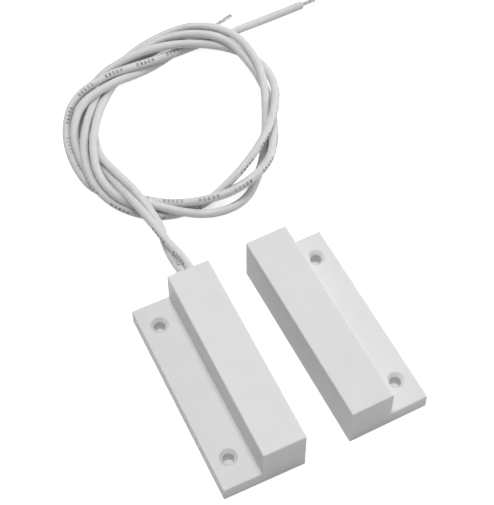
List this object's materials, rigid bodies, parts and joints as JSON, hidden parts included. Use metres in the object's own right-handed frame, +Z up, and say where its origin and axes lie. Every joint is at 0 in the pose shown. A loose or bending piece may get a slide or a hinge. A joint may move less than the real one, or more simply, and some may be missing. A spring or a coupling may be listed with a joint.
{
  "type": "magnetic door contact",
  "caption": "Surface magnetic door contact: a reed switch half with coiled wires and a magnet half, each a tall bar with a low flange and countersunk screw holes.",
  "frame": {"origin": "centre of the two halves' common outline, at their mounting faces", "axes": "+X from the switch half to the magnet half, +Y along the bars to the wire end, +Z up from the mounting faces"},
  "size_m": [0.1075, 0.1623, 0.0164],
  "materials": {
    "white_plastic": "satin moulded",
    "wire_insulation": "soft satin",
    "resin": "dull",
    "glass": "clear",
    "reed_alloy": "bright",
    "solder": "satin",
    "tinned_copper": "stranded",
    "magnet_metal": "cast and ground"
  },
  "bodies": {
    "root": {"switch_housing": "white_plastic", "magnet_housing": "white_plastic", "switch_base_plate": "white_plastic", "magnet_base_plate": "white_plastic", "outlet_potting": "resin", "reed_glass": "glass", "reed_blade_near": "reed_alloy", "reed_blade_far": "reed_alloy", "solder_joint_near": "solder", "solder_joint_far": "solder", "right_wire_inner": "wire_insulation", "left_wire_inner": "wire_insulation", "right_wire_core": "tinned_copper", "left_wire_core": "tinned_copper", "bar_magnet": "magnet_metal", "wire_coil": "wire_insulation", "left_wire_lead": "wire_insulation", "right_wire_lead": "wire_insulation", "left_wire_tail": "wire_insulation", "right_wire_tip": "tinned_copper", "left_wire_tip": "tinned_copper"}
  },
  "joints": []
}
